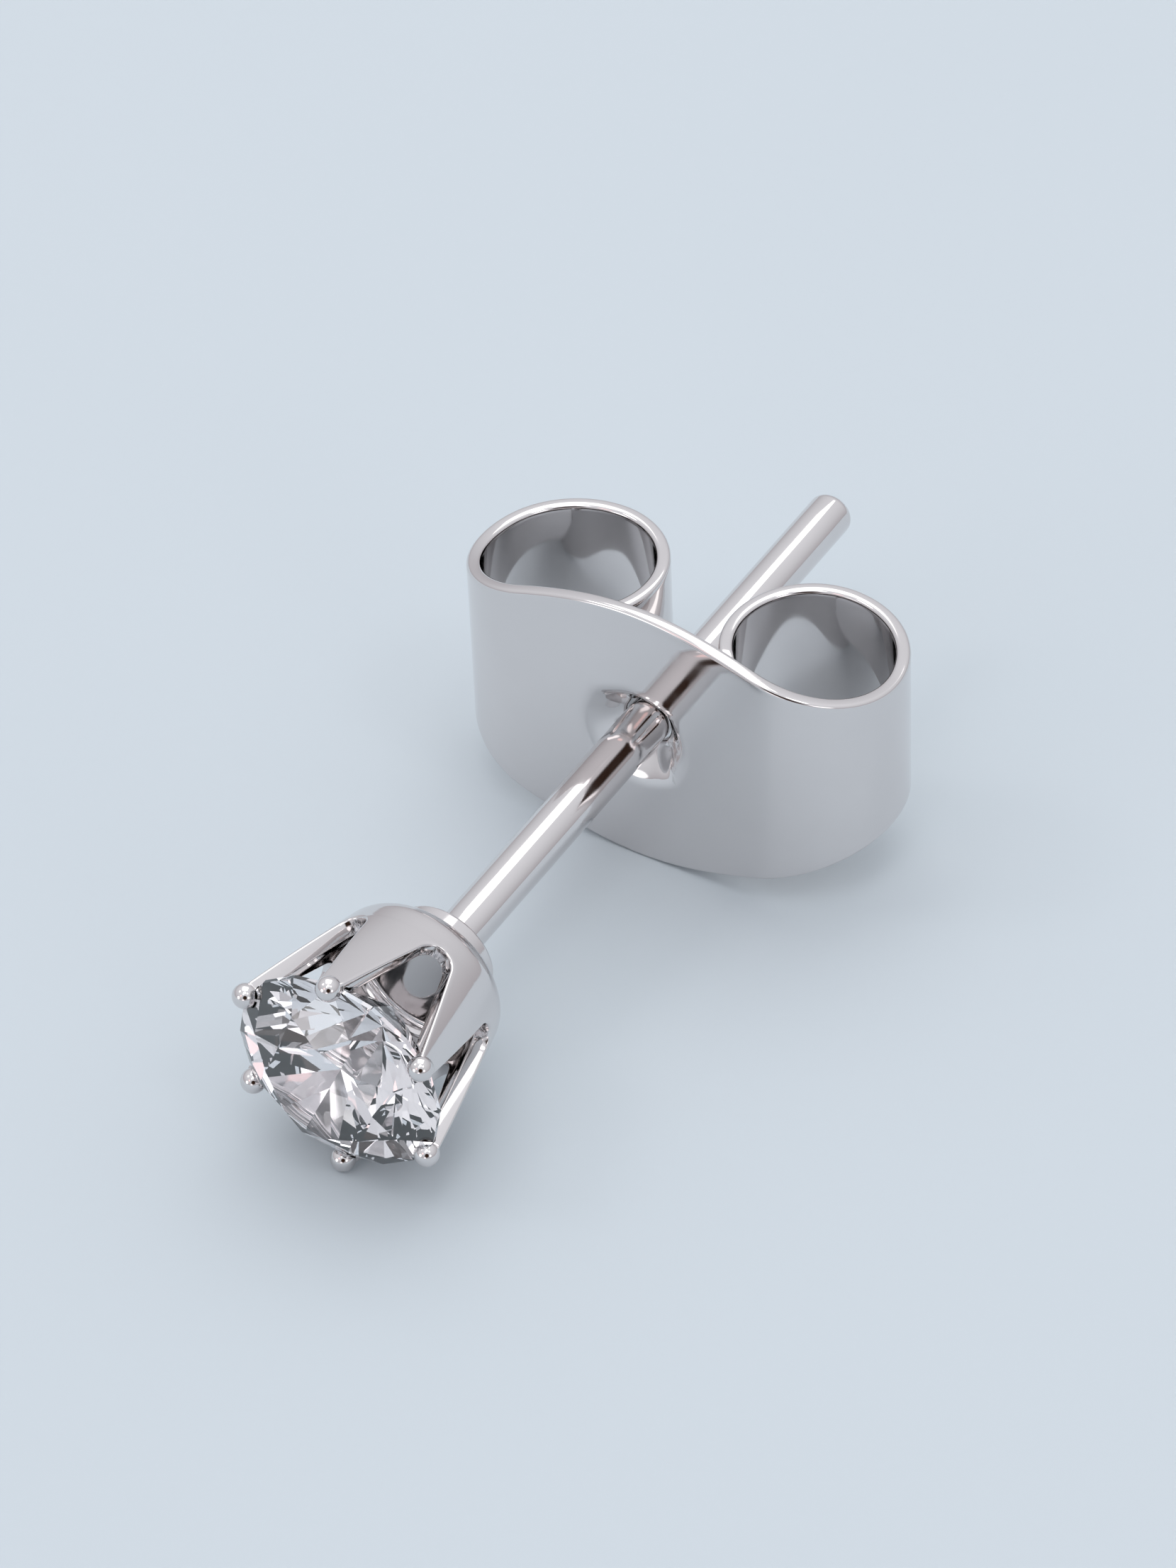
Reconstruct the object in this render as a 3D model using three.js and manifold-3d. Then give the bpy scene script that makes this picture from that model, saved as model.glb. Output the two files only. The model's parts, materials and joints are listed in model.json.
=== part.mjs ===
// A stud earring lying on a flat surface: a clear round brilliant stone in a six-prong cup with a
// soldered post, and a butterfly clutch pushed onto the post. Millimetres, +Z up.
import * as THREE from 'three';
import { ConvexGeometry } from 'three/addons/geometries/ConvexGeometry.js';
import { mergeVertices } from 'three/addons/utils/BufferGeometryUtils.js';
import Module from 'manifold-3d';

const wasm = await Module();
wasm.setup();

// The stud's own frame: its axis is Z, with the flat back of the cup at z = 0, the stone on +Z
// and the post on -Z. X is the width of the clutch and Y its height.

// Stone: a round brilliant, 3.0 mm across. Heights are along the axis.
const STONE = {
  radius: 1.5,
  tableRadius: 0.8,
  starRadius: 1.12,
  lowerRadius: 0.36,
  crown: 0.46,
  girdle: 0.06,
  pavilion: 1.27,
  tablePlane: 2.66,
  mains: 8,
};

// Cup: thin sheet with six U-shaped windows between prongs that end in beads.
const CUP = {
  wall: 0.22,
  backRadius: 0.8,
  shoulderRadius: 1.23,
  shoulderHeight: 0.38,
  rimRadius: 1.62,
  rimHeight: 2.24,
  prongs: 6,
  segments: 60,
};
const WINDOW = { bottom: 0.62, endHalfWidth: 0.26, rimHalfWidth: 0.69, pastRim: 0.4, from: 0.4, reach: 2.4 };
const BEAD = { radius: 0.17, circle: 1.52, height: 2.26 };
const SEAT_GAP = 0.03;

// Post: 22 gauge wire on a round foot that is soldered to the cup's back.
const POST = {
  radius: 0.32,
  length: 10.4,
  tipRound: 0.14,
  footRadius: 0.74,
  footHeight: 0.34,
  footRound: 0.06,
  fillet: 0.1,
  intoCup: 0.05,
  segments: 24,
};

// Clutch: one strip of sheet, an oval plate in the middle and a curl at each end.
const CLUTCH = {
  place: 5.13,
  sheet: 0.2,
  plateHalfHeight: 2.17,
  curlHalfHeight: 1.2,
  taperLength: 4.2,
  bendAt: 1.79,
  curlRadius: 1.33,
  innerRadius: 0.98,
  curlTurn: THREE.MathUtils.degToRad(330),
  shrinkFrom: THREE.MathUtils.degToRad(180),
  endRound: 0.55,
  plateSteps: 12,
  curlSteps: 44,
};
const DIMPLE = {
  radius: 0.78,
  depth: 0.36,
  hole: 0.365,
  round: 0.12,
  soften: 0.04,
  overlap: 0.1,
  segments: 32,
};

// ---------------------------------------------------------------------------------------------
// Solids

function solid(geometry) {
  const bare = geometry.index ? geometry.toNonIndexed() : geometry.clone();
  bare.deleteAttribute('normal');
  bare.deleteAttribute('uv');
  const merged = mergeVertices(bare, 1e-5);
  return new wasm.Manifold(new wasm.Mesh({
    numProp: 3,
    vertProperties: new Float32Array(merged.attributes.position.array),
    triVerts: new Uint32Array(merged.index.array),
  }));
}

function geometryOf(body) {
  const mesh = body.getMesh();
  const geometry = new THREE.BufferGeometry();
  geometry.setAttribute('position', new THREE.BufferAttribute(new Float32Array(mesh.vertProperties), 3));
  geometry.setIndex(new THREE.BufferAttribute(new Uint32Array(mesh.triVerts), 1));
  geometry.computeVertexNormals();
  return geometry;
}

// A turned solid about Z from profile points (radius, z), ordered from the bottom up on the outside.
function turned(points, segments) {
  const profile = points.map(([radius, z]) => new THREE.Vector2(radius, z));
  return new THREE.LatheGeometry(profile, segments).rotateX(Math.PI / 2);
}

// Points of a rounded corner: a quarter ellipse from (r0, z0) to (r1, z1), bulging outward.
function roundedCorner(r0, z0, r1, z1, steps) {
  const points = [];
  for (let i = 0; i <= steps; i += 1) {
    const angle = (i / steps) * (Math.PI / 2);
    points.push([r0 + (r1 - r0) * Math.sin(angle), z1 - (z1 - z0) * Math.cos(angle)]);
  }
  return points;
}

// ---------------------------------------------------------------------------------------------
// Stone

function brilliantPoints(grow) {
  const { radius, tableRadius, starRadius, lowerRadius, crown, girdle, pavilion, mains } = STONE;
  const half = Math.PI / mains;
  const girdleTop = STONE.tablePlane - crown;
  const girdleBottom = girdleTop - girdle;
  const starHeight = crown * (radius - starRadius * Math.cos(half)) / (radius - tableRadius);
  const lowerDrop = pavilion * (1 - lowerRadius * Math.cos(half) / radius);
  const points = [new THREE.Vector3(0, 0, girdleBottom - pavilion - grow)];
  const add = (r, angle, z) => points.push(new THREE.Vector3(r * Math.cos(angle), r * Math.sin(angle), z));
  for (let i = 0; i < mains; i += 1) {
    const main = 2 * half * i;
    const between = main + half;
    add(tableRadius + grow, main, STONE.tablePlane + grow);
    add(starRadius + grow, between, girdleTop + starHeight + grow);
    add(lowerRadius + grow, between, girdleBottom - lowerDrop - grow);
    for (const angle of [main, between]) {
      add(radius + grow, angle, girdleTop + grow);
      add(radius + grow, angle, girdleBottom - grow);
    }
  }
  return points;
}

const stoneGeometry = (grow) => new ConvexGeometry(brilliantPoints(grow));

// ---------------------------------------------------------------------------------------------
// Prong setting with its post

function cupShell() {
  const { wall, backRadius, shoulderRadius, shoulderHeight, rimRadius, rimHeight } = CUP;
  const outside = roundedCorner(backRadius, 0, shoulderRadius, shoulderHeight, 5);
  const inside = roundedCorner(backRadius - wall, wall, shoulderRadius - wall, shoulderHeight + wall / 2, 4);
  return turned([
    [0, 0],
    ...outside,
    [rimRadius, rimHeight],
    [rimRadius - wall, rimHeight],
    ...inside.reverse(),
    [0, wall],
    [0, 0],
  ], CUP.segments);
}

// The cutter for one window: a U outline, closed toward the back, pushed out through the wall.
function windowCutter() {
  const { bottom, endHalfWidth, rimHalfWidth, pastRim, from, reach } = WINDOW;
  const endCentre = bottom + endHalfWidth;
  const spread = (rimHalfWidth - endHalfWidth) / (CUP.rimHeight - endCentre);
  const top = CUP.rimHeight + pastRim;
  const topHalfWidth = endHalfWidth + spread * (top - endCentre);
  const outline = new THREE.Shape();
  outline.moveTo(-topHalfWidth, top);
  outline.lineTo(-endHalfWidth, endCentre);
  outline.absarc(0, endCentre, endHalfWidth, Math.PI, 2 * Math.PI, false);
  outline.lineTo(topHalfWidth, top);
  outline.closePath();
  const options = { depth: reach - from, bevelEnabled: false, curveSegments: 8 };
  return new THREE.ExtrudeGeometry(outline, options).rotateX(Math.PI / 2).translate(0, reach, 0);
}

// The fillet where the wire leaves the foot is two straight steps.
function post() {
  const { radius, length, tipRound, footRadius, footHeight, footRound, fillet, intoCup, segments } = POST;
  return turned([
    [0, -length],
    ...roundedCorner(radius - tipRound, -length, radius, -length + tipRound, 3),
    [radius, -footHeight - fillet],
    [radius + fillet / 3, -footHeight - fillet / 3],
    [radius + fillet, -footHeight],
    ...roundedCorner(footRadius - footRound, -footHeight, footRadius, -footHeight + footRound, 2),
    [footRadius, intoCup],
    [0, intoCup],
  ], segments);
}

function settingGeometry() {
  const { prongs } = CUP;
  const step = (2 * Math.PI) / prongs;
  const firstProng = -Math.PI / 2;
  let body = solid(cupShell());
  for (let i = 0; i < prongs; i += 1) {
    const windowAngle = firstProng + step * (i + 0.5);
    body = body.subtract(solid(windowCutter().rotateZ(windowAngle - Math.PI / 2)));
  }
  for (let i = 0; i < prongs; i += 1) {
    const angle = firstProng + step * i;
    const bead = new THREE.SphereGeometry(BEAD.radius, 12, 8).rotateX(Math.PI / 2);
    bead.translate(BEAD.circle * Math.cos(angle), BEAD.circle * Math.sin(angle), BEAD.height);
    body = body.add(solid(bead));
  }
  body = body.subtract(solid(stoneGeometry(SEAT_GAP)));
  return geometryOf(body.add(solid(post())));
}

// ---------------------------------------------------------------------------------------------
// Butterfly clutch

// The strip's half height at a distance from its middle, rounded off at the free end.
function halfHeight(along, stripLength) {
  const { plateHalfHeight, curlHalfHeight, taperLength, endRound } = CLUTCH;
  const swell = along < taperLength ? Math.cos((Math.PI * along) / (2 * taperLength)) ** 2 : 0;
  const height = curlHalfHeight + (plateHalfHeight - curlHalfHeight) * swell;
  const intoEnd = Math.max(0, along - (stripLength - endRound));
  return height - endRound + Math.sqrt(Math.max(0, endRound ** 2 - intoEnd ** 2));
}

// Where the curl's centreline is at a turn angle past the bend: x outward, z back along the post.
function curlRadiusAt(turn) {
  const { curlRadius, innerRadius, curlTurn, shrinkFrom } = CLUTCH;
  const part = THREE.MathUtils.smoothstep(turn, shrinkFrom, curlTurn);
  return THREE.MathUtils.lerp(curlRadius, innerRadius, part);
}

// One half of the strip as rows of { x, z, nx, nz, along }, from the middle to the free end.
function stripRows() {
  const { bendAt, curlRadius, curlTurn, plateSteps, curlSteps } = CLUTCH;
  const rows = [];
  for (let i = 0; i <= plateSteps; i += 1) {
    rows.push({ x: (bendAt * i) / plateSteps, z: 0, nx: 0, nz: -1 });
  }
  for (let i = 1; i <= curlSteps; i += 1) {
    const turn = (curlTurn * i) / curlSteps;
    const radius = curlRadiusAt(turn);
    const nx = Math.sin(turn);
    const nz = -Math.cos(turn);
    rows.push({ x: bendAt + radius * nx, z: curlRadius + radius * nz, nx, nz });
  }
  let along = 0;
  rows.forEach((row, i) => {
    if (i > 0) along += Math.hypot(row.x - rows[i - 1].x, row.z - rows[i - 1].z);
    row.along = along;
  });
  return rows;
}

// The strip, bent from a box with one column a row each way. Its inner side faces the curls.
function stripGeometry() {
  const { sheet } = CLUTCH;
  const rows = stripRows();
  const columns = 2 * (rows.length - 1);
  const stripLength = rows[rows.length - 1].along;
  const strip = new THREE.BoxGeometry(columns, 2, sheet, columns, 2, 1);
  const position = strip.attributes.position;
  for (let i = 0; i < position.count; i += 1) {
    const column = Math.round(position.getX(i));
    const row = rows[Math.abs(column)];
    const side = Math.sign(column);
    const offset = -position.getZ(i);
    position.setXYZ(
      i,
      side * (row.x + row.nx * offset),
      position.getY(i) * halfHeight(row.along, stripLength),
      row.z + row.nz * offset,
    );
  }
  return strip;
}

// The dished ring round the post hole: z runs back along the post from the plate's middle plane.
function dimpleGeometry() {
  const { sheet } = CLUTCH;
  const { radius, depth, hole, round, soften, overlap, segments } = DIMPLE;
  const front = -sheet / 2;
  const back = front + sheet;
  const edge = radius + overlap;
  return turned([
    [edge, front],
    [radius, front],
    [radius - round, front + soften],
    [hole + round, front + depth - soften],
    [hole, front + depth],
    [hole, back + depth],
    [hole + round, back + depth],
    [radius, back + soften],
    [edge, back],
    [edge, front],
  ].reverse(), segments);
}

function clutchGeometry() {
  const { sheet } = CLUTCH;
  const opening = new THREE.CylinderGeometry(DIMPLE.radius, DIMPLE.radius, 3 * sheet, DIMPLE.segments);
  const strip = solid(stripGeometry()).subtract(solid(opening.rotateX(Math.PI / 2)));
  const body = geometryOf(strip.add(solid(dimpleGeometry())));
  // The curls lie behind the plate, so the strip's z is turned to point along the post.
  return body.rotateY(Math.PI).translate(0, 0, -CLUTCH.place);
}

// ---------------------------------------------------------------------------------------------
// Assembly

function mesh(name, geometry, colour, roughness, metalness) {
  const material = new THREE.MeshStandardMaterial({ color: colour, roughness, metalness });
  const piece = new THREE.Mesh(geometry, material);
  piece.name = name;
  return piece;
}

// The stud lies on its lowest prong and on the plate's lower rim, so its axis dips to the stone.
function restingTilt(pieces) {
  let tilt = 0;
  for (let pass = 0; pass < 40; pass += 1) {
    const low = { front: { y: Infinity, z: 0 }, back: { y: Infinity, z: 0 } };
    for (const piece of pieces) {
      const position = piece.geometry.attributes.position;
      for (let i = 0; i < position.count; i += 1) {
        const y = position.getY(i);
        const z = position.getZ(i);
        const drop = y * Math.cos(tilt) - z * Math.sin(tilt);
        const end = z > 0 ? low.front : low.back;
        if (drop < (end.drop ?? Infinity)) Object.assign(end, { drop, y, z });
      }
    }
    tilt = Math.atan2(low.front.y - low.back.y, low.front.z - low.back.z);
  }
  return tilt;
}

const stone = mesh('stone', stoneGeometry(0), '#e9ebf2', 0.02, 0);
const setting = mesh('prong_setting', settingGeometry(), '#c9cbd2', 0.12, 1);
const clutch = mesh('butterfly_clutch', clutchGeometry(), '#c6c8d0', 0.12, 1);
const pieces = [setting, stone, clutch];

const stud = new THREE.Group();
stud.add(...pieces);
stud.rotation.x = Math.PI / 2 + restingTilt(pieces);
stud.updateMatrixWorld(true);

const box = new THREE.Box3().setFromObject(stud, true);
stud.position.set(-(box.min.x + box.max.x) / 2, -(box.min.y + box.max.y) / 2, -box.min.z);

const earring = new THREE.Group();
earring.add(stud);
export default earring;
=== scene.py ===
"""A stud earring lying on a pale surface: round brilliant stone, six-prong cup, post and butterfly clutch.

Shapes are worked out in millimetres in the stud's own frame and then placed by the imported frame. In the
stud's frame the axis is z, with the flat back of the cup at z = 0, the stone on +z and the post on -z. x is
the width of the clutch and y its height.
"""

import json
import math

import bmesh
import bpy
from mathutils import Matrix, Vector


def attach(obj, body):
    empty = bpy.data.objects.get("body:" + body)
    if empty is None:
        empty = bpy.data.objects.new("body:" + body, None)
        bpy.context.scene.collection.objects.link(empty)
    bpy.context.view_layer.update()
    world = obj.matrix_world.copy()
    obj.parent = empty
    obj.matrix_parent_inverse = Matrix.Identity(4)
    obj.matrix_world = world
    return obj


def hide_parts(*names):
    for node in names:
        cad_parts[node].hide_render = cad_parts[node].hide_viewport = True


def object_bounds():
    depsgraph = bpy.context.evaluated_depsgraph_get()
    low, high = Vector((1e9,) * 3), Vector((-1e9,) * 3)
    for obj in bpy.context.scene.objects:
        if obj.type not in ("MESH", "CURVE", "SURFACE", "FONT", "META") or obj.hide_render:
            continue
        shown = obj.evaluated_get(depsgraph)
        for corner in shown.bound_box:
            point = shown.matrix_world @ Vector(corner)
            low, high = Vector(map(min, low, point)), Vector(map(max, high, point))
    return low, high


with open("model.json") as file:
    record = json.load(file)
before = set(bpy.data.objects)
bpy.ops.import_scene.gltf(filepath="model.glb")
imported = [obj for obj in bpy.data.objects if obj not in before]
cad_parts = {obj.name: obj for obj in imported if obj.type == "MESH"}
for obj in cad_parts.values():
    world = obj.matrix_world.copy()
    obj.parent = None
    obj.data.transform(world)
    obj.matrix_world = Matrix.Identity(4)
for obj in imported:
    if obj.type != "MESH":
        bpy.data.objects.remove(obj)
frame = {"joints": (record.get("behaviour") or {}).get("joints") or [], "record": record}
cad_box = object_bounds()

MM = 0.001
MOUNTS = {mount["name"]: mount for mount in frame["record"]["mounts"]}

# ---------------------------------------------------------------------------------------------------------
# Dimensions, in millimetres

STONE = dict(radius=1.5, table=0.8, star=1.12, lower=0.36, crown=0.46, girdle=0.06, pavilion=1.27,
             table_plane=2.66, mains=8)
CUP = dict(wall=0.22, shoulder=0.42, side_radius=1.62, side_height=2.24, spread=0.21, prongs=6, edge=0.03)
WINDOW = dict(bottom=0.62, end=0.26, rim=0.69, tip_round=0.12)
BEAD = dict(radius=0.17, circle=1.52, height=2.26)
SEAT_GAP = 0.012
POST = dict(radius=0.32, tip=0.14, foot=0.74, foot_height=0.34, foot_round=0.05, fillet=0.1,
            solder=0.06, into_cup=0.03)
CLUTCH = dict(sheet=0.2, plate=2.17, curl=1.2, taper=4.2, bend=1.79, radius=1.33, inner=0.98,
              turn=math.radians(330), shrink_from=math.radians(180), end_round=0.55, edge=0.06)
DIMPLE = dict(radius=0.86, depth=0.36, hole=0.365, patch=1.08, creases=4, crease_depth=0.3,
              crease_narrow=14)
SURFACE_SIDE = 1200.0

# The slope that the strip's rim is taken to have where its rounded end is square to the strip.
STEEPEST = -60.0

# Colours are linear. Roughness is a range that faint unevenness in the polish moves through.
METAL = dict(dark=(0.71, 0.68, 0.675, 1), light=(0.77, 0.74, 0.735, 1), roughness=(0.035, 0.11))
CLEAR = dict(colour=(1.0, 0.975, 0.99, 1), ior=2.15, roughness=(0.0, 0.012))
PALE = dict(dark=(0.575, 0.635, 0.675, 1), light=(0.595, 0.655, 0.695, 1), roughness=0.75)

# The camera: angles in degrees, distance in metres from the earring's middle, lens in millimetres.
CAMERA = dict(azimuth=31.5, elevation=39.4, distance=0.0835, lens=145.0)

# The soft lamp overhead: angles in degrees, distance and size in metres.
LAMP = dict(azimuth=205, elevation=70, distance=0.45, size=0.36, power=0.40, colour=(1.0, 0.99, 0.97))

# The room's light as (sine of the elevation, colour): the horizon and below it, low down, and overhead.
SKY = [(0.0, (0.50, 0.49, 0.52, 1)), (0.35, (0.68, 0.69, 0.73, 1)), (1.0, (0.95, 0.97, 1.02, 1))]

# Patches of the room as seen from the earring: azimuth and elevation of the middle, the angles from it at
# which the patch starts and ends to fade, and its colour. They are chosen one by one.
ROOM = [
    (34, 25, 13, 22, (0.04, 0.022, 0.015)),
    (32, 70, 8, 12, (2.8, 2.8, 2.85)),
    (300, 50, 5, 8, (4.0, 3.9, 3.9)),
    (75, 55, 4, 7, (4.0, 4.0, 4.1)),
    (350, 35, 5, 9, (1.5, 1.15, 1.15)),
    (335, 12, 9, 14, (1.9, 1.9, 1.95)),
    (10, 56, 4, 7, (2.6, 2.6, 2.7)),
    (66, 18, 7, 11, (1.8, 1.8, 1.85)),
    (18, 2, 7, 11, (1.5, 1.45, 1.5)),
]

# ---------------------------------------------------------------------------------------------------------
# The stud's frame, from the joint and the mounts

FORWARD = -Vector(frame["joints"][0]["axis"]).normalized()
UP = (Vector((0, 0, 1)) - FORWARD * FORWARD.z).normalized()
RIGHT = UP.cross(FORWARD)
POST_TIP = Vector(MOUNTS["post_tip"]["pos_m"])
FOOT_TO_TIP = (Vector(MOUNTS["lobe_front"]["pos_m"]) - POST_TIP).dot(FORWARD) / MM
POST_LENGTH = FOOT_TO_TIP + POST["foot_height"]
CUP_BACK = POST_TIP + FORWARD * POST_LENGTH * MM
PLATE_FRONT = (Vector(MOUNTS["lobe_back"]["pos_m"]) - CUP_BACK).dot(FORWARD) / MM
CENTRE = (Vector(cad_box[0]) + Vector(cad_box[1])) / 2
STUD = Matrix.Translation(CUP_BACK) @ Matrix((RIGHT, UP, FORWARD)).transposed().to_4x4() @ Matrix.Scale(MM, 4)


# ---------------------------------------------------------------------------------------------------------
# Mesh helpers

class Shape:
    """Patches of quads, welded into one closed mesh when it is made into an object."""

    def __init__(self):
        self.mesh = bmesh.new()

    def grid(self, rows):
        """Quads between rows of points, all rows of one length."""
        rings = [[self.mesh.verts.new(point) for point in row] for row in rows]
        for near, far in zip(rings, rings[1:]):
            for i in range(len(near) - 1):
                self.mesh.faces.new((near[i], near[i + 1], far[i + 1], far[i]))

    def polygon(self, points):
        self.mesh.faces.new([self.mesh.verts.new(point) for point in points])

    def sphere(self, centre, radius, segments=32, rings=20):
        bmesh.ops.create_uvsphere(self.mesh, u_segments=segments, v_segments=rings, radius=radius,
                                  matrix=Matrix.Translation(centre))

    def object(self, name, weld=1e-5, smooth=True):
        """The welded shape as an object in the stud's frame, still in millimetres."""
        bmesh.ops.remove_doubles(self.mesh, verts=self.mesh.verts, dist=weld)
        bmesh.ops.dissolve_degenerate(self.mesh, edges=self.mesh.edges, dist=weld)
        bmesh.ops.recalc_face_normals(self.mesh, faces=self.mesh.faces)
        data = bpy.data.meshes.new(name)
        self.mesh.to_mesh(data)
        self.mesh.free()
        data.polygons.foreach_set("use_smooth", [smooth] * len(data.polygons))
        piece = bpy.data.objects.new(name, data)
        bpy.context.scene.collection.objects.link(piece)
        return piece


def lathe(shape, profile, segments):
    """A turned shape about z from (radius, z) points that start and end on the axis."""
    angles = [2 * math.pi * i / segments for i in range(segments + 1)]
    shape.grid([[(r * math.cos(a), r * math.sin(a), z) for a in angles] for r, z in profile])


def arc(centre, radius, start, end, steps):
    """Points (x, y) along an arc, angles in radians."""
    cx, cy = centre
    angles = [start + (end - start) * i / steps for i in range(steps + 1)]
    return [(cx + radius * math.cos(a), cy + radius * math.sin(a)) for a in angles]


def edge_section(half, edge, steps=4):
    """Offsets (out, up) round the rounded edge of a sheet, from its top surface to its bottom one."""
    top = [(edge * math.sin(a), half - edge + edge * math.cos(a)) for a in quarter(steps)]
    bottom = [(edge * math.cos(a), -half + edge - edge * math.sin(a)) for a in quarter(steps)]
    return top + bottom


def quarter(steps):
    return [math.pi / 2 * i / steps for i in range(steps + 1)]


def combine(piece, other, operation):
    """Joins or cuts piece by other and removes other."""
    change = piece.modifiers.new("combine", "BOOLEAN")
    change.object = other
    change.operation = operation
    change.solver = "EXACT"
    bpy.context.view_layer.update()
    graph = bpy.context.evaluated_depsgraph_get()
    result = bpy.data.meshes.new_from_object(piece.evaluated_get(graph))
    piece.modifiers.clear()
    old = piece.data
    piece.data = result
    bpy.data.meshes.remove(old)
    bpy.data.objects.remove(other)


def finish_piece(piece, body, material, replaces, sharp=35):
    """Places a piece by the frame and says what it rides on, stands for and is made of."""
    piece.data.transform(STUD)
    piece.data.set_sharp_from_angle(angle=math.radians(sharp))
    piece.data.materials.clear()
    piece.data.materials.append(material)
    piece.data.update()
    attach(piece, body)
    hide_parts(replaces)


# ---------------------------------------------------------------------------------------------------------
# Stone

def brilliant(name, grow=0.0):
    """The round brilliant's facets. grow moves every facet out, for the seat cut in the prongs."""
    count = STONE["mains"]
    half = math.pi / count
    radius, table, crown, pavilion = STONE["radius"], STONE["table"], STONE["crown"], STONE["pavilion"]
    top = STONE["table_plane"] - crown
    bottom = top - STONE["girdle"]
    star_height = crown * (radius - STONE["star"] * math.cos(half)) / (radius - table)
    lower_drop = pavilion * (1 - STONE["lower"] * math.cos(half) / radius)

    def ring(r, z, turn):
        angles = [2 * half * i + turn for i in range(count)]
        return [Vector(((r + grow) * math.cos(a), (r + grow) * math.sin(a), z)) for a in angles]

    tables = ring(table, STONE["table_plane"] + grow, 0)
    stars = ring(STONE["star"], top + star_height + grow, half)
    lowers = ring(STONE["lower"], bottom - lower_drop - grow, half)
    mains_top, mains_low = ring(radius, top + grow, 0), ring(radius, bottom - grow, 0)
    half_top, half_low = ring(radius, top + grow, half), ring(radius, bottom - grow, half)
    culet = Vector((0, 0, bottom - pavilion - grow))

    shape = Shape()
    shape.polygon(tables)
    for i in range(count):
        after = (i + 1) % count
        before = i - 1
        shape.polygon((tables[i], tables[after], stars[i]))
        shape.polygon((tables[i], stars[before], mains_top[i], stars[i]))
        shape.polygon((stars[i], mains_top[i], half_top[i]))
        shape.polygon((stars[i], half_top[i], mains_top[after]))
        shape.polygon((mains_top[i], half_top[i], half_low[i], mains_low[i]))
        shape.polygon((half_top[i], mains_top[after], mains_low[after], half_low[i]))
        shape.polygon((mains_low[i], half_low[i], lowers[i]))
        shape.polygon((half_low[i], mains_low[after], lowers[i]))
        shape.polygon((mains_low[i], lowers[i], culet, lowers[before]))
    return shape.object(name, smooth=False)


# ---------------------------------------------------------------------------------------------------------
# Cup and prongs

def cup_profile():
    """Outer profile as (radius, z, normal radius, normal z): flat back, rounded shoulder, straight side."""
    lean = math.atan(CUP["spread"])
    shoulder = CUP["shoulder"]
    foot_z = shoulder * (1 - math.sin(lean))
    foot_r = CUP["side_radius"] - CUP["spread"] * (CUP["side_height"] - foot_z)
    centre_r = foot_r - shoulder * math.cos(lean)
    back = [(centre_r * i / 6, 0.0, 0.0, -1.0) for i in range(6)]
    corner = []
    for i in range(13):
        angle = -math.pi / 2 + (math.pi / 2 - lean) * i / 12
        c, s = math.cos(angle), math.sin(angle)
        corner.append((centre_r + shoulder * c, shoulder + shoulder * s, c, s))
    return back + corner


def side_radius(z):
    return CUP["side_radius"] + CUP["spread"] * (z - CUP["side_height"])


def window_edge():
    """Half of a window's outline, set back by the edge rounding, from the middle of its closed end, up the
    prong's side and round the prong's tip. Rows of (angle from the prong's middle, z, out_u, out_z), where
    out is the way out of the metal: u round the cup, away from the prong's middle, and z up the side."""
    half_sector = math.pi / CUP["prongs"]
    edge, end = CUP["edge"], WINDOW["end"]
    centre = WINDOW["bottom"] + end
    slope = (WINDOW["rim"] - end) / (CUP["side_height"] - centre)
    lean = math.atan(slope)
    rows = []
    for i in range(15):
        angle = -math.pi / 2 + (math.pi / 2 - lean) * i / 14
        u, z = (end + edge) * math.cos(angle), centre + (end + edge) * math.sin(angle)
        rows.append((half_sector - u / side_radius(z), z, math.cos(angle), -math.sin(angle)))
    start_u, start_z = (end + edge) * math.cos(lean), centre - (end + edge) * math.sin(lean)
    tip_start = CUP["side_height"] - WINDOW["tip_round"]
    for i in range(1, 19):
        z = start_z + (tip_start - start_z) * i / 18
        u = start_u + slope * (z - start_z)
        rows.append((half_sector - u / side_radius(z), z, math.cos(lean), math.sin(lean)))
    tip_angle = rows[-1][0]
    for a in quarter(6)[1:]:
        z = tip_start + (CUP["side_height"] - edge - tip_start) * math.sin(a)
        rows.append((tip_angle * math.cos(a), z, math.cos(a), math.sin(a)))
    return rows


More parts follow.
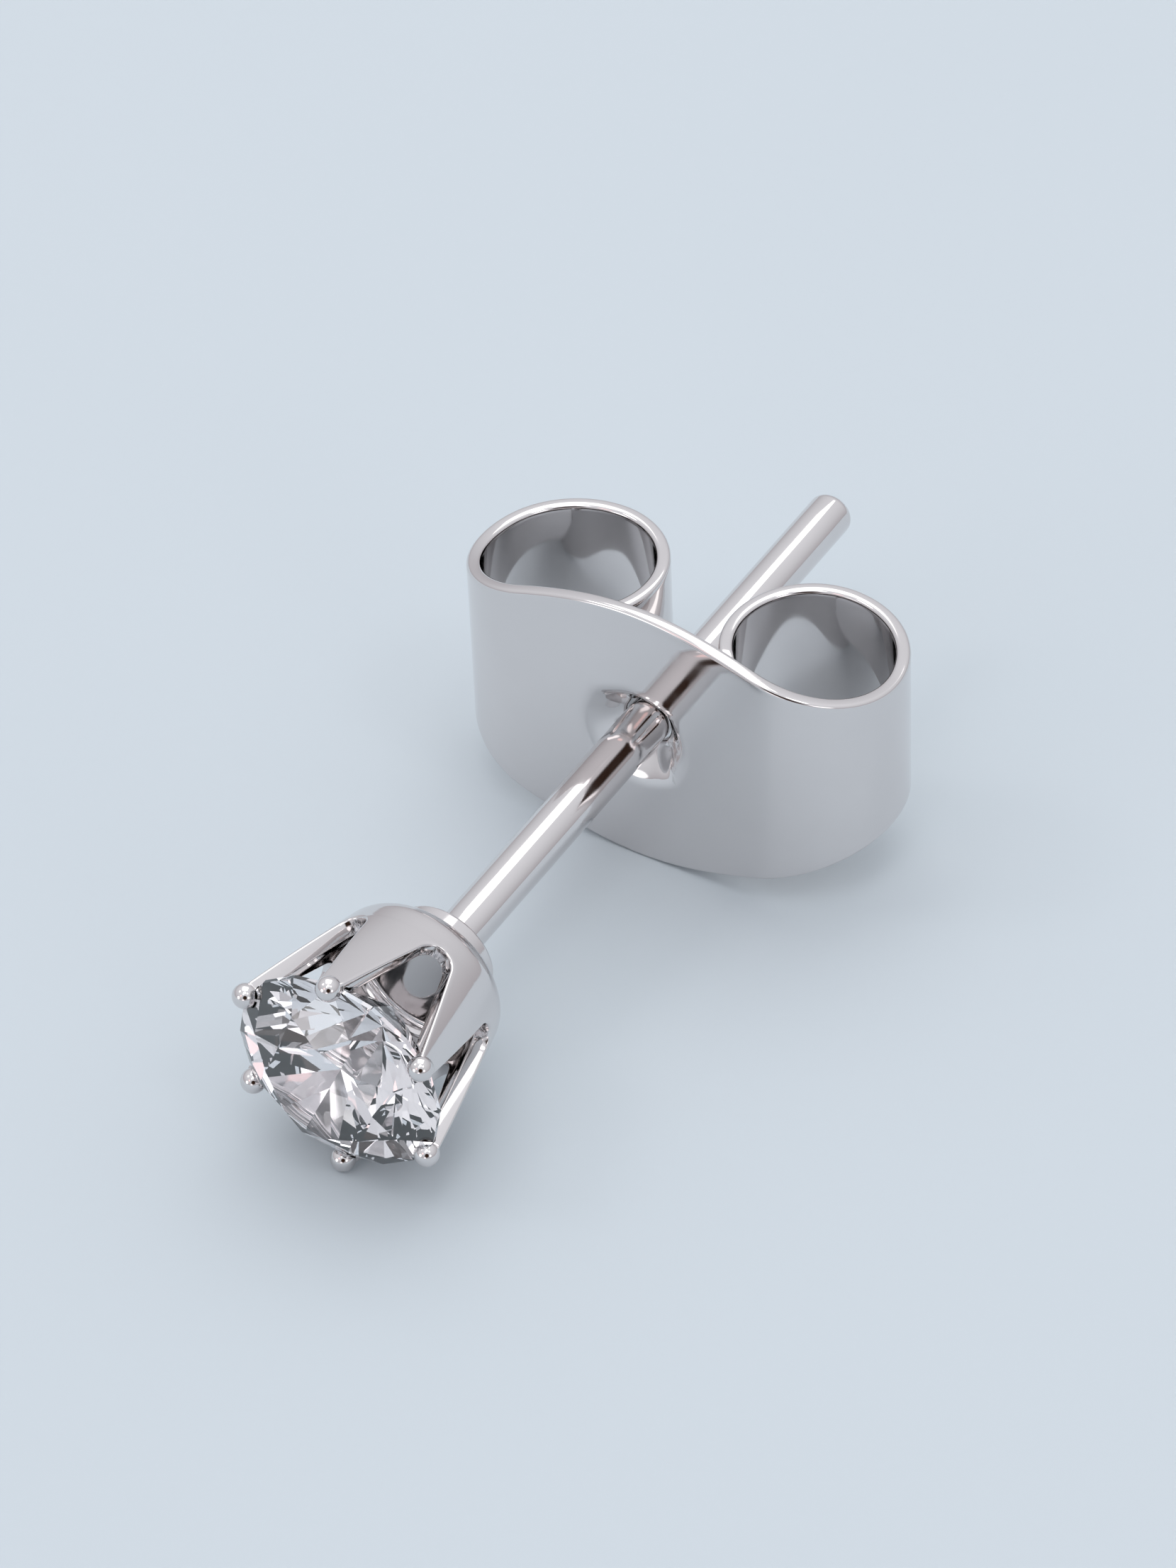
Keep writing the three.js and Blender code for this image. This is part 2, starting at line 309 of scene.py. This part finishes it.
def cup_mesh(name):
    columns = 8
    half_sector = math.pi / CUP["prongs"]
    wall, lean = CUP["wall"], math.atan(CUP["spread"])
    profile = cup_profile()
    outline = window_edge()
    side_normal = (math.cos(lean), -math.sin(lean))
    low_z = outline[0][1]
    foot = profile[-1]
    for i in range(1, 4):
        z = foot[1] + (low_z - foot[1]) * i / 4
        profile.append((side_radius(z), z, *side_normal))
    top_z = outline[-1][1]
    shape = Shape()

    def point(middle, side, angle, r, z, normal, out=(0.0, 0.0), up=0.0):
        """A point set off from the mid sheet: up along the wall's normal and out along the surface."""
        turn = middle + side * angle
        radial = Vector((math.cos(turn), math.sin(turn), 0))
        around = Vector((-math.sin(turn), math.cos(turn), 0)) * side
        axis = Vector((0, 0, 1))
        facing = radial * normal[0] + axis * normal[1]
        rise = radial * -normal[1] + axis * normal[0]
        return radial * r + axis * z + facing * (up - wall / 2) + around * out[0] + rise * out[1]

    for prong in range(CUP["prongs"]):
        middle = -math.pi / 2 + 2 * half_sector * prong
        for side in (1, -1):
            for up in (wall / 2, -wall / 2):
                rows = [[point(middle, side, half_sector * i / columns, r, z, (nr, nz), up=up)
                         for i in range(columns + 1)] for r, z, nr, nz in profile]
                for k, (angle, edge_z, _, _) in enumerate(outline):
                    spine_z = low_z + (top_z - low_z) * (edge_z - low_z) / (top_z - low_z)
                    row = []
                    for i in range(columns + 1):
                        z = spine_z + (edge_z - spine_z) * i / columns
                        turn = angle * i / columns
                        row.append(point(middle, side, turn, side_radius(z), z, side_normal, up=up))
                    rows.append(row)
                shape.grid(rows)
            section = edge_section(wall / 2, CUP["edge"])
            shape.grid([[point(middle, side, angle, side_radius(z), z, side_normal,
                               out=(out_u * out, out_z * out), up=up) for out, up in section]
                        for angle, z, out_u, out_z in outline])
    return shape.object(name)


def make_cup(material):
    cup = cup_mesh("setting_cup")
    beads = Shape()
    for prong in range(CUP["prongs"]):
        turn = -math.pi / 2 + 2 * math.pi * prong / CUP["prongs"]
        place = (BEAD["circle"] * math.cos(turn), BEAD["circle"] * math.sin(turn), BEAD["height"])
        beads.sphere(place, BEAD["radius"])
    combine(cup, beads.object("beads"), "UNION")
    combine(cup, brilliant("seat", SEAT_GAP), "DIFFERENCE")
    finish_piece(cup, "stud", material, "prong_setting")
    return cup


def make_post(material):
    """The straight wire and the round foot that is soldered to the cup's back."""
    radius, tip, fillet = POST["radius"], POST["tip"], POST["fillet"]
    foot, height, corner = POST["foot"], POST["foot_height"], POST["foot_round"]
    solder = POST["solder"]
    wire = POST_LENGTH - tip - height - fillet
    profile = [(0, -POST_LENGTH)]
    profile += arc((radius - tip, -POST_LENGTH + tip), tip, -math.pi / 2, 0, 8)
    profile += [(radius, -POST_LENGTH + tip + wire * i / 24) for i in range(1, 24)]
    profile += arc((radius + fillet, -height - fillet), fillet, math.pi, math.pi / 2, 8)
    profile += arc((foot - corner, -height + corner), corner, -math.pi / 2, 0, 5)
    profile += arc((foot + solder, -solder), solder, math.pi, math.pi / 2, 6)
    profile += [(foot + solder, POST["into_cup"]), (0, POST["into_cup"])]
    shape = Shape()
    lathe(shape, profile, 72)
    post = shape.object("setting_post")
    finish_piece(post, "stud", material, "prong_setting")
    return post


# ---------------------------------------------------------------------------------------------------------
# Clutch

def smoothstep(x):
    x = min(1.0, max(0.0, x))
    return x * x * (3 - 2 * x)


def strip_path():
    """The strip's middle line from its middle to a free end, as (distance, x, z, normal x, normal z). z runs
    back along the post and the normal points out of the curl, which on the plate is to the front."""
    bend, radius = CLUTCH["bend"], CLUTCH["radius"]
    patch = DIMPLE["patch"]
    xs = [patch * i / 12 for i in range(12)] + [patch + (bend - patch) * i / 8 for i in range(9)]
    path = [(x, x, 0.0, 0.0, -1.0) for x in xs]
    steps = 110
    along = bend
    for i in range(1, steps + 1):
        turn = CLUTCH["turn"] * i / steps
        closing = smoothstep((turn - CLUTCH["shrink_from"]) / (CLUTCH["turn"] - CLUTCH["shrink_from"]))
        r = radius + (CLUTCH["inner"] - radius) * closing
        nx, nz = math.sin(turn), -math.cos(turn)
        x, z = bend + r * nx, radius + r * nz
        along += math.hypot(x - path[-1][1], z - path[-1][2])
        path.append((along, x, z, nx, nz))
    return path


def half_height(along, length):
    """The strip's half height at a distance from its middle, rounded off at the free end."""
    swell = math.cos(math.pi * along / (2 * CLUTCH["taper"])) ** 2 if along < CLUTCH["taper"] else 0.0
    height = CLUTCH["curl"] + (CLUTCH["plate"] - CLUTCH["curl"]) * swell
    corner = CLUTCH["end_round"]
    into_end = max(0.0, along - (length - corner))
    return height - corner + math.sqrt(max(0.0, corner * corner - into_end * into_end))


def dimple_depth(x, y):
    """How far back the plate is pressed in round the hole, with creases on the diagonals."""
    r = math.hypot(x, y)
    into = smoothstep((DIMPLE["radius"] - r) / (DIMPLE["radius"] - DIMPLE["hole"]))
    turn = math.atan2(y, x)
    crease = abs(math.cos(DIMPLE["creases"] / 2 * (turn - math.pi / 4))) ** DIMPLE["crease_narrow"]
    ridge = 4 * into * (1 - into)
    return DIMPLE["depth"] * (into + DIMPLE["crease_depth"] * ridge * crease)


def make_clutch(material):
    sheet, edge, patch = CLUTCH["sheet"], CLUTCH["edge"], DIMPLE["patch"]
    path = strip_path()
    length = path[-1][0]
    inner_rows, outer_rows = 8, 5
    shape = Shape()

    def frame_at(side, row, y):
        """Mid-sheet point, its normal, and the direction along the strip, for a path row and height."""
        _, x, z, nx, nz = row
        point = Vector((side * x, y, z))
        normal = Vector((side * nx, 0, nz))
        along = Vector((side * -nz, 0, nx))
        return point, normal, along

    def plate_frame(x, y):
        """Mid-sheet point and normal on the plate, where the dimple presses it back."""
        step = 1e-4
        point = Vector((x, y, dimple_depth(x, y)))
        slope_x = (dimple_depth(x + step, y) - dimple_depth(x - step, y)) / (2 * step)
        slope_y = (dimple_depth(x, y + step) - dimple_depth(x, y - step)) / (2 * step)
        return point, Vector((slope_x, slope_y, -1)).normalized()

    def flip(v):
        """The strip's z runs back along the post: turn it into the stud's frame."""
        return Vector((v.x, v.y, PLATE_FRONT - sheet / 2 - v.z))

    def heights(row):
        """Mesh rows across the strip at one place: a fine middle band and a band to each edge."""
        rim = half_height(row[0], length) - edge
        band = min(patch, 0.85 * rim)
        upper = [band * i / inner_rows for i in range(inner_rows)]
        upper += [band + (rim - band) * i / outer_rows for i in range(outer_rows + 1)]
        return [-y for y in reversed(upper[1:])] + upper

    # The free end's corner needs closer columns, so its path rows are put in anew.
    corner_start = length - CLUTCH["end_round"]
    straight = [row for row in path if row[0] < corner_start - 0.02]
    ends = []
    for a in quarter(12):
        target = length - CLUTCH["end_round"] * (1 - math.sin(a))
        target = min(target, length - edge * a / (math.pi / 2))
        ends.append(path_row(path, target))
    rows = straight + ends

    for side in (1, -1):
        start = next(i for i, row in enumerate(rows) if abs(row[0] - patch) < 1e-9)
        for up in (sheet / 2, -sheet / 2):
            grid = []
            for row in rows[start:]:
                grid.append([flip(p + n * up) for p, n, _ in (frame_at(side, row, y) for y in heights(row))])
            shape.grid(grid)
            centre = []
            for row in rows[:start + 1]:
                ys = heights(row)
                centre.append([flip(p + n * up) for p, n, _ in (frame_at(side, row, y) for y in ys)])
            band = len(centre[0]) // 2 - inner_rows
            for part in (slice(0, band + 1), slice(-band - 1, None)):
                shape.grid([line[part] for line in centre])

        # Rounded top and bottom rims and free end.
        for level in (1, -1):
            rim = []
            for row in rows:
                y = level * (half_height(row[0], length) - edge)
                ahead = half_height(min(length, row[0] + 1e-3), length)
                behind = half_height(row[0] - 1e-3 if row[0] > 1e-3 else 0.0, length)
                slope = max(STEEPEST, (ahead - behind) / 2e-3) if row[0] > 1e-3 else 0.0
                p, n, t = frame_at(side, row, y)
                out = (Vector((0, level, 0)) - t * slope).normalized()
                rim.append([flip(p + out * o + n * u) for o, u in edge_section(sheet / 2, edge)])
            shape.grid(rim)
        last = rows[-1]
        end = []
        for y in heights(last):
            p, n, t = frame_at(side, last, y)
            end.append([flip(p + t * o + n * u) for o, u in edge_section(sheet / 2, edge)])
        shape.grid(end)

    # The dimple's ring of quads between the square patch and the hole.
    border = square_border(patch, 12, inner_rows)
    rings = 16
    hole = DIMPLE["hole"] + edge
    for up in (sheet / 2, -sheet / 2):
        grid = []
        for k in range(rings + 1):
            f = k / rings
            line = []
            for bx, by in border:
                r = math.hypot(bx, by)
                x, y = bx + (bx / r * hole - bx) * f, by + (by / r * hole - by) * f
                p, n = plate_frame(x, y)
                line.append(flip(p + n * up))
            grid.append(line)
        shape.grid(grid)
    lip = []
    for bx, by in border:
        r = math.hypot(bx, by)
        p, n = plate_frame(bx / r * hole, by / r * hole)
        inward = Vector((-bx / r, -by / r, 0))
        inward = (inward - n * inward.dot(n)).normalized()
        lip.append([flip(p + inward * o + n * u) for o, u in edge_section(sheet / 2, edge)])
    shape.grid(lip)

    clutch = shape.object("clutch_strip", weld=2e-4)
    finish_piece(clutch, "clutch", material, "butterfly_clutch")
    return clutch


def path_row(path, along):
    """The path interpolated at a distance from the strip's middle."""
    for before, after in zip(path, path[1:]):
        if along <= after[0] + 1e-12:
            f = (along - before[0]) / (after[0] - before[0])
            row = [b + (a - b) * f for b, a in zip(before, after)]
            size = math.hypot(row[3], row[4])
            return (*row[:3], row[3] / size, row[4] / size)
    return path[-1]


def square_border(half, columns, rows):
    """Points round a square patch, closed, matching the strip's columns and rows."""
    along = [half * i / columns for i in range(-columns, columns + 1)]
    across = [half * i / rows for i in range(-rows, rows + 1)]
    border = [(x, -half) for x in along[:-1]]
    border += [(half, y) for y in across[:-1]]
    border += [(x, half) for x in reversed(along[1:])]
    border += [(-half, y) for y in reversed(across[1:])]
    return border + border[:1]


# ---------------------------------------------------------------------------------------------------------
# Materials

def new_material(name):
    material = bpy.data.materials.new(name)
    material.use_nodes = True
    nodes, links = material.node_tree.nodes, material.node_tree.links
    nodes.clear()
    output = nodes.new("ShaderNodeOutputMaterial")
    shader = nodes.new("ShaderNodeBsdfPrincipled")
    links.new(shader.outputs["BSDF"], output.inputs["Surface"])
    return material, nodes, links, shader


def noise(nodes, links, scale, detail=3.0):
    """Object-space noise: scale is in features for each millimetre."""
    place = nodes.new("ShaderNodeTexCoord")
    texture = nodes.new("ShaderNodeTexNoise")
    texture.inputs["Scale"].default_value = scale / MM
    texture.inputs["Detail"].default_value = detail
    links.new(place.outputs["Object"], texture.inputs["Vector"])
    return texture.outputs["Fac"]


def spread(nodes, links, value, low, high, start=0.3, end=0.7):
    """Maps a noise value onto a range."""
    ranged = nodes.new("ShaderNodeMapRange")
    ranged.inputs["From Min"].default_value = start
    ranged.inputs["From Max"].default_value = end
    ranged.inputs["To Min"].default_value = low
    ranged.inputs["To Max"].default_value = high
    links.new(value, ranged.inputs["Value"])
    return ranged.outputs["Result"]


def polished_metal():
    material, nodes, links, shader = new_material("polished_metal")
    shader.inputs["Metallic"].default_value = 1.0
    tone = nodes.new("ShaderNodeMix")
    tone.data_type = "RGBA"
    tone.inputs["A"].default_value = METAL["dark"]
    tone.inputs["B"].default_value = METAL["light"]
    links.new(noise(nodes, links, 0.6), tone.inputs["Factor"])
    links.new(tone.outputs["Result"], shader.inputs["Base Color"])
    links.new(spread(nodes, links, noise(nodes, links, 2.5), *METAL["roughness"]), shader.inputs["Roughness"])
    bump = nodes.new("ShaderNodeBump")
    bump.inputs["Strength"].default_value = 0.25
    bump.inputs["Distance"].default_value = 0.004 * MM
    links.new(noise(nodes, links, 1.6, detail=2.0), bump.inputs["Height"])
    links.new(bump.outputs["Normal"], shader.inputs["Normal"])
    return material


def clear_stone():
    material, nodes, links, shader = new_material("clear_stone")
    shader.inputs["Base Color"].default_value = CLEAR["colour"]
    shader.inputs["Transmission Weight"].default_value = 1.0
    shader.inputs["IOR"].default_value = CLEAR["ior"]
    links.new(spread(nodes, links, noise(nodes, links, 3.0), *CLEAR["roughness"]), shader.inputs["Roughness"])
    return material


def pale_surface():
    material, nodes, links, shader = new_material("pale_surface")
    tone = nodes.new("ShaderNodeMix")
    tone.data_type = "RGBA"
    tone.inputs["A"].default_value = PALE["dark"]
    tone.inputs["B"].default_value = PALE["light"]
    links.new(noise(nodes, links, 0.05), tone.inputs["Factor"])
    links.new(tone.outputs["Result"], shader.inputs["Base Color"])
    shader.inputs["Roughness"].default_value = PALE["roughness"]
    shader.inputs["Specular IOR Level"].default_value = 0.25
    return material


# ---------------------------------------------------------------------------------------------------------
# Surface, light and camera

def direction(azimuth, elevation):
    """The way to a place seen from the earring. Azimuth 0 is the side the stone faces."""
    a, e = math.radians(azimuth), math.radians(elevation)
    return Vector((math.sin(a) * math.cos(e), -math.cos(a) * math.cos(e), math.sin(e)))


def make_surface(material):
    shape = Shape()
    half = SURFACE_SIDE / 2
    shape.polygon([(-half, -half, 0), (half, -half, 0), (half, half, 0), (-half, half, 0)])
    surface = shape.object("surface", smooth=False)
    surface.data.transform(Matrix.Scale(MM, 4))
    surface.data.materials.append(material)


def make_world():
    """A pale room, brighter overhead, with the dark and bright patches of ROOM."""
    world = bpy.data.worlds.new("room")
    bpy.context.scene.world = world
    world.use_nodes = True
    nodes, links = world.node_tree.nodes, world.node_tree.links
    nodes.clear()
    output = nodes.new("ShaderNodeOutputWorld")
    light = nodes.new("ShaderNodeBackground")
    links.new(light.outputs["Background"], output.inputs["Surface"])
    place = nodes.new("ShaderNodeTexCoord")
    axes = nodes.new("ShaderNodeSeparateXYZ")
    links.new(place.outputs["Generated"], axes.inputs["Vector"])
    height = nodes.new("ShaderNodeValToRGB")
    stops = height.color_ramp.elements
    (_, low), (middle, level), (_, high) = SKY
    stops[0].color, stops[1].color = low, high
    stops.new(middle).color = level
    links.new(axes.outputs["Z"], height.inputs["Fac"])

    def patch(azimuth, elevation, inner, outer):
        """1 inside a cone of directions, falling to 0 outside it. Angles in degrees."""
        towards = nodes.new("ShaderNodeVectorMath")
        towards.operation = "DOT_PRODUCT"
        towards.inputs[1].default_value = direction(azimuth, elevation)
        links.new(place.outputs["Generated"], towards.inputs[0])
        edge = nodes.new("ShaderNodeMapRange")
        edge.interpolation_type = "SMOOTHSTEP"
        edge.inputs["From Min"].default_value = math.cos(math.radians(outer))
        edge.inputs["From Max"].default_value = math.cos(math.radians(inner))
        links.new(towards.outputs["Value"], edge.inputs["Value"])
        return edge.outputs["Result"]

    def over(below, mask, colour):
        mix = nodes.new("ShaderNodeMix")
        mix.data_type = "RGBA"
        mix.inputs["B"].default_value = (*colour, 1)
        links.new(mask, mix.inputs["Factor"])
        links.new(below, mix.inputs["A"])
        return mix.outputs["Result"]

    colour = height.outputs["Color"]
    for azimuth, elevation, inner, outer, tone in ROOM:
        colour = over(colour, patch(azimuth, elevation, inner, outer), tone)
    links.new(colour, light.inputs["Color"])
    light.inputs["Strength"].default_value = 1.0


def aim(thing, azimuth, elevation, distance):
    """Puts a lamp or camera at a distance from the earring's middle, looking at it."""
    away = direction(azimuth, elevation)
    thing.location = CENTRE + away * distance
    thing.rotation_euler = (-away).to_track_quat("-Z", "Y").to_euler()


def make_lamp():
    data = bpy.data.lights.new("overhead", "AREA")
    data.shape = "SQUARE"
    data.size = LAMP["size"]
    data.energy = LAMP["power"]
    data.color = LAMP["colour"]
    lamp = bpy.data.objects.new("overhead", data)
    bpy.context.scene.collection.objects.link(lamp)
    aim(lamp, LAMP["azimuth"], LAMP["elevation"], LAMP["distance"])


def make_camera():
    data = bpy.data.cameras.new("camera")
    data.lens = CAMERA["lens"]
    data.clip_start, data.clip_end = 0.001, 10.0
    camera = bpy.data.objects.new("camera", data)
    bpy.context.scene.collection.objects.link(camera)
    aim(camera, CAMERA["azimuth"], CAMERA["elevation"], CAMERA["distance"])
    bpy.context.scene.camera = camera


# ---------------------------------------------------------------------------------------------------------
# The earring

metal = polished_metal()
make_cup(metal)
make_post(metal)
make_clutch(metal)
stone = brilliant("stone_brilliant")
finish_piece(stone, "stud", clear_stone(), "stone", sharp=1)

make_surface(pale_surface())
make_world()
make_lamp()
make_camera()
bpy.context.scene.view_settings.view_transform = "Standard"
